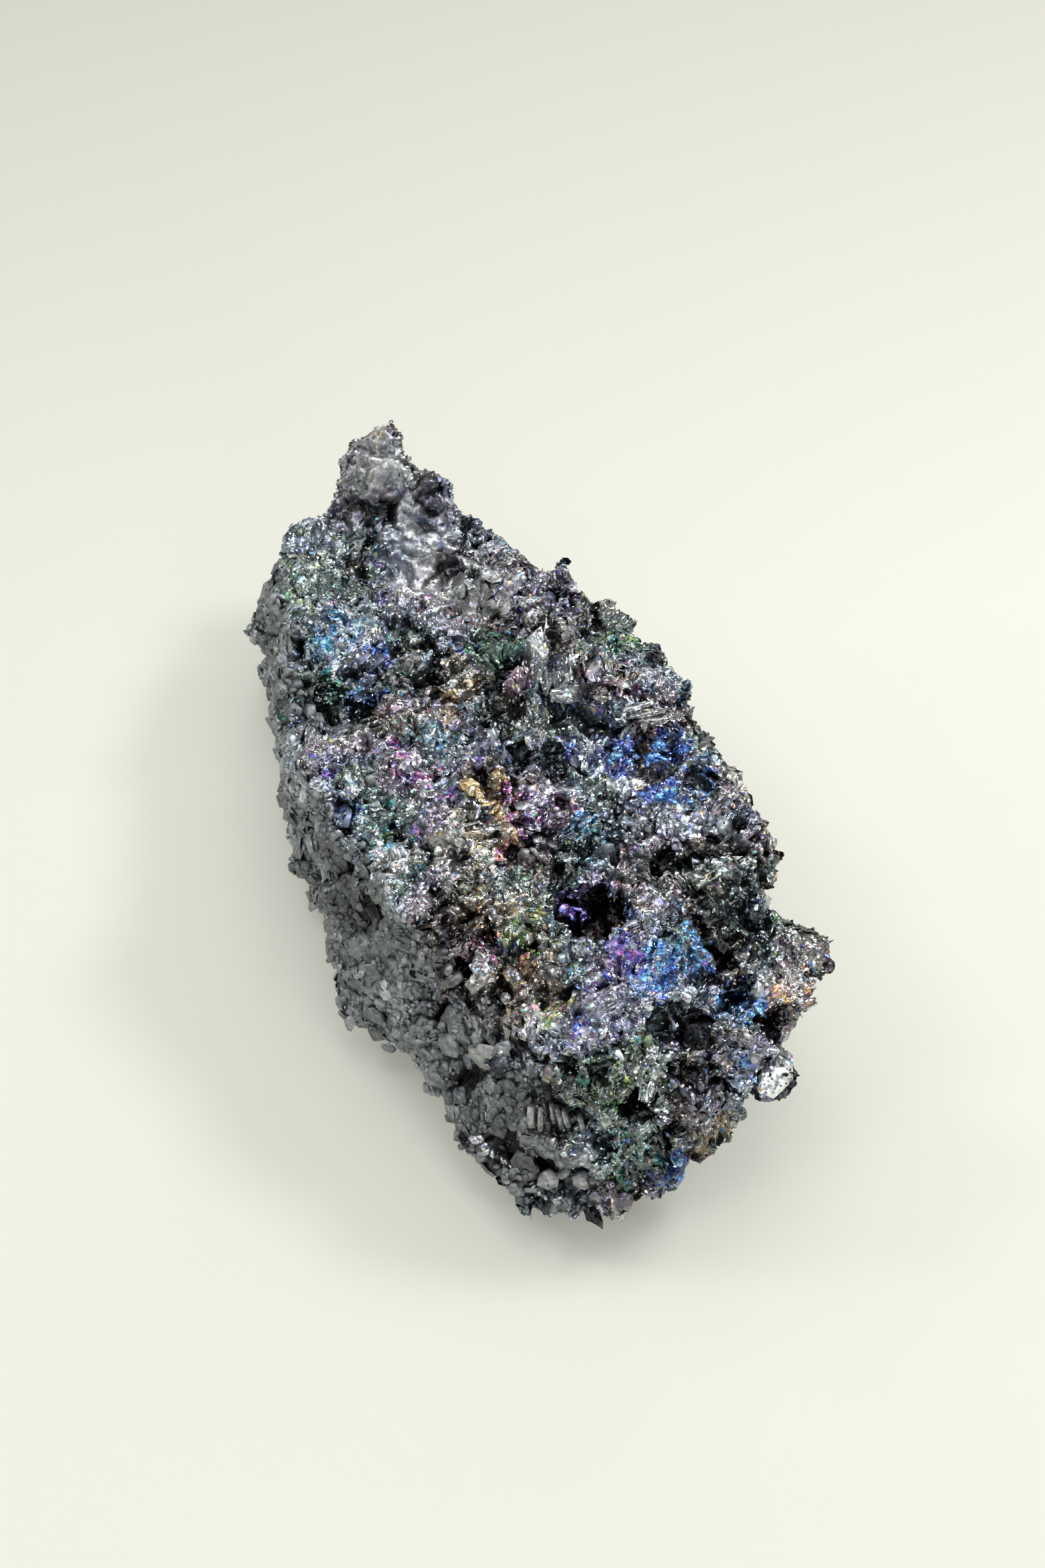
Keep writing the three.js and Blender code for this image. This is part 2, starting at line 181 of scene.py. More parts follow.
# Large plates that stand out, in mm: at and step place them, size is across, along and through;
# fan turns each by that many degrees more than the last.
leadPlates = {
    "tallKnobBlade": {
        "at": (7.0, 5.4, 66.2), "axis": (-0.85, -0.5, 0.2), "size": (7, 15, 1.0), "tone": 2.1},
    "tallKnobRib": {
        "at": (10.0, 5.2, 65.5), "axis": (-0.8, -0.6, 0.2), "size": (7, 13, 0.8), "tone": 1.2,
        "count": 3, "step": (1.7, 0.3, -1.2), "fan": -9},
    "knobSideBlades": {
        "at": (5.4, 4.6, 61.6), "axis": (-0.7, -0.6, 0.4), "size": (5, 8, 0.8), "tone": 0.8,
        "count": 4, "step": (-1.5, -0.3, -0.7), "fan": 8, "shade": 0.29, "strength": 0.3},
    "darkKnobPlates": {
        "at": (5.0, 9.5, 65.6), "axis": (-0.5, -0.5, 0.7), "size": (4, 6, 0.7), "tone": 0.28,
        "count": 6, "step": (-1.1, 0.3, -0.9), "fan": 23, "shade": 0.78, "strength": 0.4},
    "knobFan": {
        "at": (11.5, -0.8, 59.4), "axis": (-0.25, -0.62, 0.75), "size": (9, 3.6, 0.7),
        "tone": 1.3, "count": 8, "step": (1.6, 0.7, 0.25), "fan": 11, "scatter": 0.8},
    "knobGlint": {
        "at": (22.5, -1.5, 61.3), "axis": (0.21, -0.27, 0.94), "size": (2.4, 4.4, 0.8),
        "tone": 3.0},
    "rimLedges": {
        "at": (24.5, -6.0, 58.4), "axis": (-0.05, -0.3, 1), "size": (9, 2.4, 0.4), "tone": 0.8,
        "count": 4, "step": (2.3, -1.3, -1.0), "fan": 9, "scatter": 0.8},
    "basinLedges": {
        "at": (2.5, 49.5, 43.6), "axis": (-0.45, 0.25, 1), "size": (11, 6, 0.8), "tone": 0.55,
        "count": 5, "step": (1.7, -2.5, 0.9), "fan": 5, "matt": 0.7},
    "blueChunks": {
        "at": (29.5, -12.0, 52.6), "axis": (0.1, -0.55, 0.8), "size": (3.6, 2.4, 0.6),
        "tone": 1.0, "count": 10, "step": (-0.5, -0.6, -0.1), "fan": 37, "scatter": 1.7,
        "shade": 0.59, "strength": 0.85},
    "lowerBlueChunks": {
        "at": (25.5, -25.0, 52.8), "axis": (0.1, -0.55, 0.8), "size": (3.0, 2.2, 0.6),
        "tone": 0.9, "count": 9, "step": (0.4, -0.6, 0.0), "fan": 37, "scatter": 1.5,
        "shade": 0.6, "strength": 0.8},
    "middleBlueChunks": {
        "at": (19.0, -13.0, 54.2), "axis": (0.1, -0.55, 0.8), "size": (2.6, 2.0, 0.6),
        "tone": 0.8, "count": 7, "step": (0.3, -0.4, 0.0), "fan": 37, "scatter": 1.4,
        "shade": 0.62, "strength": 0.75},
    "wellPlates": {
        "at": (-2.0, -48.4, 52.6), "axis": (0.35, -0.6, 0.75), "size": (3.6, 2.6, 0.6),
        "tone": 1.0, "count": 9, "step": (0.55, 0.2, -0.8), "fan": 31, "scatter": 0.9,
        "shade": 0.43, "strength": 0.8},
    "goldSwirl": {
        "at": (-13.6, -17.8, 58.3), "axis": (-0.1, -0.45, 0.9), "size": (4.6, 3.2, 0.5),
        "tone": 0.75, "count": 7, "step": (0.6, -1.5, 0.1), "fan": 47, "shade": 0.11,
        "strength": 0.85},
    # painted highlight: tone 3 turns this plate's reflection of the window lamp white
    "glintingCornerPlate": {
        "at": (27.9, -90.4, 40.6), "axis": (0.27, -0.38, 0.88), "size": (13.5, 9.5, 1.2),
        "tone": 3.0, "count": 2, "step": (1.8, 2.2, -0.3), "fan": 14, "shade": 0.13,
        "strength": 0.06},
    "hangingPlates": {
        "at": (12.4, -89.4, 21.4), "axis": (-0.4, -0.8, 0.5), "size": (7, 10, 0.9), "tone": 0.35,
        "count": 5, "step": (2.1, 1.0, 0.5), "fan": 10, "shade": 0.14, "strength": 0.3},
    "nearBook": {
        "at": (-18.7, -81.8, 34.2), "axis": (0.9, -0.3, 0.1), "size": (6.5, 6.5, 1.1),
        "tone": 0.9, "count": 6, "step": (1.7, -0.6, -0.2), "fan": 1.5, "scatter": 0.35,
        "matt": 1},
    "sideSlab": {
        "at": (-23.8, -69.6, 39.5), "axis": (-0.8, -0.55, 0.25), "size": (8, 6, 0.9),
        "tone": 0.95, "count": 2, "step": (-0.6, 3.2, -6.8), "fan": 4, "matt": 1},
    "lowSlabs": {
        "at": (-16.0, -87.8, 18.0), "axis": (-0.35, -0.75, 0.55), "size": (6, 4.5, 1.1),
        "tone": 1.1, "count": 2, "step": (5.8, -2.0, 0.4), "fan": 15, "matt": 1},
    "lowStrip": {
        "at": (-28.0, -73.5, 17.6), "axis": (-0.6, -0.4, 0.7), "size": (3.2, 2.2, 0.6),
        "tone": 1.5, "count": 14, "step": (0.75, -1.25, -0.1), "fan": 26, "matt": 0.2},
    "knobSpine": {
        "at": (9.0, 4.4, 65.0), "axis": (-0.19, -0.84, 0.5), "size": (4.4, 20, 1.5), "tone": 2.0,
        "count": 3, "step": (2.4, -0.5, -2.0), "fan": 9},
}
leadUneven = {
    "size": (0.7, 1.1),
    "shrink": 0.04,  # from each plate of a row to the next
    "scatter": 0.35,  # mm
    "upDown": 0.3,  # of the scatter
    "tilt": 0.10,
    "corners": 0.12,
}


def leadPlaces():
    # entry, middle, axis and size of every large plate
    rng = np.random.default_rng(7)
    uneven = leadUneven
    for lead in leadPlates.values():
        axis = unit(np.array(lead["axis"], float))
        for k in range(lead.get("count", 1)):
            turn = math.radians(lead.get("fan", 0) * k)
            turned = np.array([axis[0] * math.cos(turn) - axis[1] * math.sin(turn),
                               axis[0] * math.sin(turn) + axis[1] * math.cos(turn), axis[2]])
            size = np.array(lead["size"]) * rng.uniform(*uneven["size"], 3)
            size = size * (1 - uneven["shrink"] * k)
            middle = np.array(lead["at"]) + k * np.array(lead.get("step", (0, 0, 0)))
            scatter = rng.normal(0, lead.get("scatter", uneven["scatter"]), 3)
            middle = middle + scatter * (1, 1, uneven["upDown"])
            yield lead, middle, unit(turned + rng.normal(0, uneven["tilt"], 3)), size


# In mm. sideLoss and calmLoss: how much of a form is missing on the grey side and in calm places.
crustLook = {
    "voxel": 0.58,
    "inset": 0.6,  # the crystals fill this depth up to the skin of the solid
    "blocks": [  # cell size, lean of each block, step between blocks, depth and width of the cracks
        {"size": 12.0, "lean": 0.15, "step": 0.7, "crack": 3.4, "width": 0.07},
        {"size": 6.0, "lean": 0.22, "step": 0.5, "crack": 2.6, "width": 0.1},
        {"size": 3.2, "lean": 0.2, "step": 0.2, "crack": 1.1, "width": 0.13},
    ],
    "blockForm": {"sideLoss": 0.6, "calmLoss": 0.6},
    "crackForm": {  # runs: cells over which they open and close
        "sideLoss": 0.1, "calmLoss": 0.6, "opens": (-0.05, 0.25), "runs": 1.3},
    "crumple": {  # folds of the skin, from that size down to a quarter of it
        "size": 4.6, "height": 0.9, "level": 1.1, "folds": (0.8, 2.1, 3, 1.0, 2.0),
        "sideLoss": 0.75, "calmLoss": 0.7},
    "leaves": {  # edges of plates standing in rows
        "cluster": 7.5, "apart": 1.9, "height": 0.85, "share": 0.55, "sharp": 1.5, "sunk": 0.4,
        "waver": 0.6, "waverSize": 5.0, "sideLoss": 0.7, "calmLoss": 0.55},
    "pores": {
        "size": 3.3, "share": 0.45, "radius": 0.75, "spread": (0.6, 0.8), "depth": 2.8,
        "sideLoss": 0.5, "calmLoss": 0.6},
    "limits": (-5.5, 0.3),
    "standBack": {  # round the large plates, over a share of their width and a little more
        "depth": 1.3, "share": 0.55, "more": 1, "fade": (-4.5, -2.0)},
    "feet": {"below": 1.5, "facing": (0.9, 1.0), "flat": 0.9, "ground": 0.05},
    "pieces": 3,
    "wells": [  # place, reach and depth of the dark hollows between the clusters
        ((4, -48, 46), 5.5, 9.0),
        ((0, -45, 55), 3.5, 5.0),
        ((-16, 68, 37), 2.6, 5.0),
        ((-27, 28, 49), 2.2, 3.5),
        ((-33, 32, 49), 2.0, 3.0),
        ((-30, 17, 45), 2.2, 5.0),
        ((-32, 0, 57), 2.4, 5.0),
        ((-1, 7, 62), 3.2, 5.0),
        ((0, -9, 57), 3.0, 4.5),
        ((-12, 30, 53), 2.4, 3.5),
        ((-16, -10, 56), 2.0, 3.0),
        ((17, 36, 50), 2.6, 3.0),
        ((-9, 74, 46), 3.0, 3.0),
        ((-13, 79, 43), 3.0, 2.5),
        ((25, -76, 54), 3.4, 8.0),
        ((25, -68, 54), 3.2, 7.0),
        ((23, -62, 55), 2.8, 5.0),
        ((31, -84, 49), 2.6, 4.5),
        ((14, -81, 48), 2.6, 4.5),
        ((8, -80, 50), 2.6, 4.5),
        ((-25, -60, 45), 3.0, 3.5),
        ((-9, -68, 53), 2.4, 4.0),
        ((-19, -64, 52), 2.4, 4.0),
        ((1, -90, 39), 2.4, 3.5),
        ((12, -88, 44), 2.4, 3.5),
        ((-6, -85, 43), 2.2, 3.0),
        ((-18, -89, 21), 2.6, 4.0),
        ((-23, -81, 21), 3.2, 3.0),
        ((-20, -32, 55), 1.9, 4.0),
        ((-26, -37, 55), 1.8, 3.0),
        ((-26, -53, 55), 1.6, 3.5),
        ((-40, -33, 44), 4.5, 3.0),
        ((-45, -7, 39), 4.0, 2.0),
        ((-28, -62, 32), 2.0, 2.5),
        ((-29, -65, 22), 2.2, 3.0),
    ],
}


def fuseSkin():
    # an even fine mesh of the solid, to be pushed in and out
    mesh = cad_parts[carbideNode].data.copy()
    mesh.name = "crust"
    mesh.materials.clear()
    crust = bpy.data.objects.new("crust", mesh)
    bpy.context.scene.collection.objects.link(crust)
    selectOnly(crust)
    bpy.ops.object.mode_set(mode="EDIT")
    bpy.ops.mesh.select_all(action="SELECT")
    bpy.ops.mesh.remove_doubles(threshold=1e-5)
    bpy.ops.object.mode_set(mode="OBJECT")
    remesh = crust.modifiers.new("fuse", "REMESH")
    remesh.mode = "VOXEL"
    remesh.voxel_size = crustLook["voxel"] * mm
    bpy.ops.object.modifier_apply(modifier="fuse")
    return crust


def crustLift(co, no):
    # how far each point moves out, in mm, and the same before the crust stands back from the plates
    side = greySide(co, no)
    calm = np.clip(reach(co, calmPlaces), 0, 1) * (1 - side)
    lift = np.full(len(co), -crustLook["inset"])

    block, cleft = crustLook["blockForm"], crustLook["crackForm"]
    blocky = 1 - block["sideLoss"] * side - block["calmLoss"] * calm
    cracked = 1 - cleft["sideLoss"] * side - cleft["calmLoss"] * calm
    for k, layer in enumerate(crustLook["blocks"]):
        border, seed, rnd = cells(co, layer["size"], salt=3.1 * k)
        here = np.einsum("ij,ij->i", unit(rnd - 0.5), co - seed) / mm * layer["lean"]
        here += (rnd[:, 0] - 0.5) * 2 * layer["step"]
        along = noiseAt(co, layer["size"] * cleft["runs"], salt=4.4 + k)
        crack = layer["crack"] * smooth(along, *cleft["opens"])
        crack = crack * np.exp(-(border / layer["width"]) ** 2)
        lift += here * blocky - crack * cracked

    def thinned(form, amount):
        return amount * (1 - form["sideLoss"] * side) * (1 - form["calmLoss"] * calm)

    fold = crustLook["crumple"]
    ridges = [noise.ridged_multi_fractal(p, *fold["folds"]) for p in co / (fold["size"] * mm)]
    lift += thinned(fold, fold["height"] * (np.array(ridges) - fold["level"]))
    leaves = crustLook["leaves"]
    _, seed, rnd = cells(co, leaves["cluster"], salt=14.6)
    row = np.einsum("ij,ij->i", unit(rnd - 0.5), co - seed) / mm / leaves["apart"]
    row = row + leaves["waver"] * noiseAt(co, leaves["waverSize"], salt=3.3)
    fin = (row - np.floor(row)) ** leaves["sharp"] - leaves["sunk"]
    lift += thinned(leaves, leaves["height"] * fin * (rnd[:, 1] < leaves["share"]))
    pore = crustLook["pores"]
    _, seed, rnd = cells(co, pore["size"], salt=21.4)
    least, more = pore["spread"]
    away = np.linalg.norm(co - seed, axis=1) / mm / (pore["radius"] * (least + more * rnd[:, 1]))
    lift -= thinned(pore, pore["depth"] * (rnd[:, 0] < pore["share"]) * np.exp(-away ** 4))
    lift = np.clip(lift, *crustLook["limits"])
    lift -= reach(co, crustLook["wells"], power=1.2)

    lit = lift.copy()
    back = crustLook["standBack"]
    for _, middle, _, size in leadPlaces():
        away = np.linalg.norm(co / mm - middle, axis=1) / (back["share"] * size[0] + back["more"])
        lift -= back["depth"] * np.exp(-away ** 4) * smooth(lift, *back["fade"])
    feet = crustLook["feet"]
    lift *= 1 - feet["flat"] * smooth(-no[:, 2], *feet["facing"]) * (co[:, 2] < feet["below"] * mm)
    return lift, lit


def makeCrust():
    crust = fuseSkin()
    mesh = crust.data
    count = len(mesh.vertices)
    co = readVectors(mesh.vertices, "co", count)
    no = readVectors(mesh.vertex_normals, "vector", count)
    lift, lit = crustLift(co, no)
    co += no * lift[:, None] * mm
    co[:, 2] = np.maximum(co[:, 2], crustLook["feet"]["ground"] * mm)
    mesh.vertices.foreach_set("co", co.ravel())
    mesh.update()
    mesh.polygons.foreach_set("use_smooth", np.ones(len(mesh.polygons), bool))
    mesh.calc_loop_triangles()
    tris = np.empty(len(mesh.loop_triangles) * 3, np.int32)
    mesh.loop_triangles.foreach_get("vertices", tris)
    shaped = readVectors(mesh.vertex_normals, "vector", count)
    print("crust:", len(tris) // 3, "triangles")
    return crust, {"co": co, "normal": unit(no + shaped), "lift": lift, "lit": lit,
                   "tris": tris.reshape(-1, 3)}


def splitCrust(crust):
    # one sheet of crystal, kept as pieces from the near end to the far end
    pieces = [crust]
    count = crustLook["pieces"]
    for k in range(1, count):
        mesh = crust.data
        middle = readVectors(mesh.polygons, "center", len(mesh.polygons))[:, 1]
        mesh.polygons.foreach_set("select", middle < np.quantile(middle, 1 / (count + 1 - k)))
        selectOnly(crust)
        bpy.ops.object.mode_set(mode="EDIT")
        bpy.ops.mesh.select_mode(type="FACE")
        bpy.ops.mesh.separate(type="SELECTED")
        bpy.ops.object.mode_set(mode="OBJECT")
        pieces += [o for o in bpy.context.selected_objects if o != crust]
    for k, piece in enumerate(pieces):
        piece.name = "crust" + str(k)
        piece.data.name = piece.name
        print(piece.name + ":", len(piece.data.polygons) * 2, "triangles")
    return pieces


filmShades = [  # order of the tarnish colours, as their films grow thicker
    (0.00, (0.50, 0.51, 0.50)),
    (0.11, (0.72, 0.56, 0.27)),
    (0.20, (0.66, 0.36, 0.16)),
    (0.29, (0.50, 0.12, 0.30)),
    (0.38, (0.30, 0.13, 0.52)),
    (0.47, (0.12, 0.15, 0.62)),
    (0.56, (0.07, 0.22, 0.72)),
    (0.65, (0.16, 0.46, 0.74)),
    (0.74, (0.10, 0.42, 0.40)),
    (0.83, (0.12, 0.38, 0.12)),
    (0.92, (0.50, 0.55, 0.12)),
    (1.00, (0.60, 0.30, 0.40)),
]
filmPlaces = [  # place and reach in mm, shade, and the share of its clusters that carry the film
    ((-30, 37, 51), 8, 0.645, 0.5),
    ((-24, 28, 51), 6, 0.52, 0.5),
    ((-27, 18, 51), 4, 0.55, 1.0),
    ((-40, 19, 49), 6, 0.56, 0.5),
    ((-38, 24, 48), 9, 0.76, 0.6),
    ((-27, 58, 50), 12, 0.78, 0.25),
    ((-38, -16, 56), 5, 0.58, 0.5),
    ((-33, -18, 55), 8, 0.76, 0.4),
    ((-5, 17, 50), 7, 0.13, 0.45),
    ((-23, -7, 54), 6, 0.34, 0.5),
    ((-9, -18, 60), 5, 0.12, 1.0),
    ((-10, -24, 58), 4, 0.12, 1.0),
    ((-16, 0, 53), 6, 0.68, 0.35),
    ((5, 23, 53), 8, 0.8, 0.7),
    ((3, 19, 53), 7, 0.83, 0.5),
    ((10, -11, 55), 4, 0.5, 0.6),
    ((31, -13, 51), 5, 0.54, 1.0),
    ((19, -14, 53), 5, 0.5, 0.85),
    ((26, -27, 52), 6, 0.55, 0.8),
    ((35, -22, 52), 4, 0.58, 0.6),
    ((6, -34, 55), 6, 0.68, 0.35),
    ((-8, -33, 55), 5, 0.2, 0.6),
    ((0, -28, 54), 8, 0.35, 0.38),
    ((-22, -20, 56), 6, 0.36, 0.35),
    ((-5, -24, 56), 5, 0.33, 0.25),
    ((-17, -30, 59), 8, 0.06, 0.5),
    ((2, -46, 53), 4, 0.42, 1.0),
    ((8, -52, 49), 5, 0.56, 0.85),
    ((5, -65, 56), 6, 0.42, 0.7),
    ((20, -69, 57), 6, 0.62, 0.85),
    ((10, -71, 56), 6, 0.58, 0.9),
    ((-11, -54, 55), 6, 0.9, 0.7),
    ((-18, -46, 55), 6, 0.13, 0.5),
    ((-22, -52, 56), 7, 0.3, 0.25),
    ((-14, -64, 52), 7, 0.15, 0.5),
    ((-4, -76, 51), 7, 0.45, 0.4),
    ((-10, -70, 51), 5, 0.92, 0.5),
    ((23, -79, 51), 5, 0.6, 0.7),
    ((21, -90, 45), 3, 0.56, 0.7),
    ((-3, -85, 44), 10, 0.84, 0.28),
    ((0, -94, 28), 9, 0.74, 0.3),
    ((-2, -94, 29), 5, 0.92, 0.4),
    ((6, -94, 20), 6, 0.53, 0.7),
    ((-23, -82, 21), 6, 0.11, 0.6),
    ((34, -80, 52), 6, 0.2, 0.25),
    ((17, 38, 50), 8, 0.4, 0.35),
    ((32, 21, 50), 7, 0.82, 0.35),
    ((17, 36, 50), 4, 0.52, 0.7),
]
filmLook = {
    "cluster": 3.6,  # mm, patches that share one film
    "together": (0.75, 0.25),  # how far the cluster's place counts, and the crystal's own
    "winsAt": 0.25,  # a place gives its shade from this nearness on
    "fullness": 1.35,
    "stray": 0.10,  # share of clusters with a film away from the places
    "drift": {"size": 26, "middle": 0.5, "by": 1.1, "each": 0.35},  # of the stray shades; mm
    "clusterWander": 0.08,
    "wander": 0.06,
    "chance": (0.65, 0.35),  # how far the cluster decides on its film, and the crystal itself
    "border": (-0.06, 0.06),
    "strong": (0.15, 0.6),
    "faint": 0.35,  # film on crystals that miss theirs
    "gain": (0.85, 0.20),
    "most": 0.9,
    "sideLoss": 0.96,
    "calmLoss": 0.6,
}
chunkLook = {  # lighter and darker lumps, in mm
    "sizes": (15, 7), "fine": 0.5, "contrast": 1.15, "limits": (-0.8, 0.8), "sideLoss": 0.6}


def chunkTone(co, side):
    # how light the crystals of each lump are
    wide, fine = chunkLook["sizes"]
    level = noiseAt(co, wide, salt=5.1) + chunkLook["fine"] * noiseAt(co, fine, salt=9.4)
    light = np.exp(chunkLook["contrast"] * np.clip(level, *chunkLook["limits"]))
    return light ** (1 - chunkLook["sideLoss"] * side)


def films(co, draws):
    # shade and strength of the film at each point; draws holds three random numbers for each
    look, drift = filmLook, filmLook["drift"]
    _, seed, rnd = cells(co, look["cluster"], salt=8.3)
    shared, own = look["together"]
    p = (shared * seed + own * co) / mm
    best = np.full(len(p), look["winsAt"])
    shade = drift["middle"] + drift["by"] * noiseAt(seed, drift["size"], salt=1.7)
    shade = (shade + drift["each"] * (rnd[:, 2] - 0.5)) % 1.0
    share = np.full(len(p), look["stray"])
    for at, far, filmShade, filmShare in filmPlaces:
        near = np.exp(-(np.linalg.norm(p - np.array(at), axis=1) / far) ** 2)
        wins = near > best
        shade = np.where(wins, filmShade + look["clusterWander"] * (rnd[:, 1] - 0.5), shade)
        best = np.where(wins, near, best)
        share = np.maximum(share, filmShare * np.clip(look["fullness"] * near, 0, 1))
    byCluster, byCrystal = look["chance"]
    on = smooth(share - byCluster * rnd[:, 0] - byCrystal * draws[:, 2], *look["border"])
    missed = (1 - on) * look["faint"] * share * draws[:, 1]
    strength = on * smooth(draws[:, 1], *look["strong"]) + missed
    shade = shade + look["wander"] * (2 * draws[:, 0] - 1)
    kept, added = look["gain"]
    strength = kept * strength + added * draws[:, 1]
    return np.clip(shade, 0, 1), np.clip(strength, 0, look["most"])


crustTone = {
    "base": 0.38,
    "calmer": 0.3,  # lighter where it is calm
    "sideCalm": 0.3,  # how calm the grey side counts
    "grain": {"size": 1.6, "by": 0.5},  # mm
    "deep": (0.18, 0.82),  # painted shade in crevices: what is left of the tone deep in one, and what is lost there
    "crevice": (-3.2, -1.0),  # mm of depth, over which the painted shade grows
    "depths": (0.35, 0.65),  # for the painted shade, how far the depth counts with the stand back, and without it
    # painted shade: darker crust in the gaps between the grey side's plates
    "sideLoss": 0.35,
    "calmMatt": 0.75,
}


def dressCrust(crust, skin):
    # tone with painted shade in its crevices, film and dullness of every point of the crust, for
    # the material
    look, film = crustTone, filmLook
    co, mesh = skin["co"], crust.data
    _, _, draws = cells(co, look["grain"]["size"], salt=2.2)
    shade, strength = films(co, draws)
    side = greySide(co, skin["normal"])
    calm = np.clip(reach(co, calmPlaces), 0, 1)
    left, lost = look["deep"]
    withIt, without = look["depths"]
    # painted shade: the deeper the crust lies in crevices, pores and wells, the darker it is
    unshaded = smooth(withIt * skin["lift"] + without * skin["lit"], *look["crevice"])
    tone = (look["base"] + look["calmer"] * np.maximum(calm, look["sideCalm"] * side)
            + look["grain"]["by"] * draws[:, 2] ** 2) * (1 + reach(co, toneLightShadePlaces))
    tone *= (left + lost * unshaded) * chunkTone(co, side)
    # painted shade in the gaps between the grey side's plates
    tone *= 1 - look["sideLoss"] * side
    strength = strength * (1 - film["sideLoss"] * side) * (1 - film["calmLoss"] * calm)
    setAttribute(mesh, "shade", shade, "POINT")
    setAttribute(mesh, "strength", strength, "POINT")
    setAttribute(mesh, "tone", tone, "POINT")
    setAttribute(mesh, "matt", np.maximum(side, look["calmMatt"] * calm), "POINT")


# Width and top over the skin in mm, thickness as a share of the width; lean of a whole cluster
# and spread of each crystal; stack: plates in a book.
crystalKinds = {
    "sideSlabs": {
        "form": "plate", "count": 900, "width": (3.0, 7.5), "thick": (0.1, 0.16),
        "top": (0.0, 0.7), "lean": 0.16, "spread": 0.1, "cluster": 9.0, "where": "side"},
    "sideBlocks": {
        "form": "plate", "count": 4600, "width": (1.3, 3.6), "thick": (0.18, 0.34),
        "top": (0.1, 1.1), "lean": 0.4, "spread": 0.15, "cluster": 6.0, "where": "side"},
    "sideBooks": {
        "form": "plate", "count": 260, "width": (2.0, 4.0), "thick": (0.16, 0.26),
        "top": (0.2, 0.8), "lean": 3.0, "spread": 0.1, "cluster": 9.0, "where": "side",
        "stack": 5},
    "topSlabs": {
        "form": "plate", "count": 800, "width": (2.4, 5.5), "thick": (0.06, 0.12),
        "top": (0.1, 0.9), "lean": 0.8, "spread": 0.25, "cluster": 8.0, "where": "top"},
    "topFlakes": {
        "form": "flake", "count": 6000, "width": (1.0, 3.8), "thick": (0.06, 0.12),
        "top": (-0.1, 0.7), "lean": 0.8, "spread": 0.25, "cluster": 5.0, "where": "top"},
    "topScales": {
        "form": "scale", "count": 9000, "width": (0.6, 1.8), "thick": (0.15, 0.4),
        "top": (0.0, 0.5), "lean": 0.8, "spread": 0.35, "cluster": 4.0, "where": "top"},
    "topBooks": {
        "form": "plate", "count": 1100, "width": (1.6, 4.4), "thick": (0.07, 0.14),
        "top": (0.3, 1.2), "lean": 2.6, "spread": 0.25, "cluster": 7.0, "where": "top",
        "stack": 5},
    "fineShards": {
        "form": "shard", "count": 5000, "width": (0.5, 1.2), "thick": (0.5, 1.0),
        "top": (0.0, 0.6), "lean": 1.0, "spread": 1.0, "cluster": 3.0, "where": "all"},
}
fans = [  # centre and reach in mm, and pull: the plates around it stand towards it, like spokes
    ((7, 6, 64), 20, 1.0),
    ((-24, -36, 55), 9, 0.8),
    ((13, -67, 59), 9, 0.8),
    ((26, -29, 53), 9, 0.7),
    ((-32, 45, 53), 10, 0.7),
    ((1, -91, 39), 10, 0.7),
]
crystalGrowth = {
    "tries": {"side": 16, "top": 4, "all": 4},  # points tried for each crystal
    "sideLoss": {"top": 0.92, "all": 0.6},  # how much rarer they are on the grey side
    "calmLoss": {"wide": 0.9, "small": 0.5},  # and in calm places
    "wideFrom": 1.5,  # mm
    "crevice": (-3.2, -1.5),  # mm
    "creviceShare": (0.06, 0.94),  # what grows in it, and what more outside
    "under": (0.4, 0.8),  # facing down
    "underLoss": 0.7,
    "leadSize": 0.5,
    "leadLoss": 0.85,  # beside the large plates
    "lowest": 1.0,  # mm
    "steady": 0.7,  # less lean in calm places
    "ownTurn": 0.3,
}
crystalShape = {
    "smallMore": 1.6,  # more small ones than large ones
    "calmSize": 0.35,
    "calmTop": 0.5,
    "mouth": (-2.6, -1.2),  # mm, small ones at the mouth of a crevice
    "mouthSize": (0.55, 0.45),
    "book": {"gap": 1.35, "slip": 0.12, "width": (0.75, 1.1), "top": (0.5, 1.1), "tilt": 0.05},
    "stretch": (0.6, 1.0),
    "bulge": (-0.06, 0.16),  # of a flake's crumpled head
    "rooted": 1.7,  # most that a crystal rises, so that its foot stays in the crust
    "clear": 0.1,  # mm over the ground
    "corners": {"plate": 0.14, "flake": 0.34, "scale": 0.3, "shard": 0.2},  # how uneven they are
}
crystalFinish = {
    "base": 0.42,
    "light": {"by": 1.3, "rarity": 2.5},
    "sideEven": 0.6,  # how far the grey side evens out their tones, and to what
    "sideTone": 0.95,
    "clump": {"size": 5.0, "base": 0.6, "by": 0.85, "rarity": 1.5, "sideLoss": 0.5},
    "dull": {"most": 0.7, "each": 0.6, "from": (0.75, 1.15)},
    "calmMatt": 0.85,
    "wide": (2.2, 4.5),  # mm, where the film grows fainter
    "wideLoss": 0.5,
}


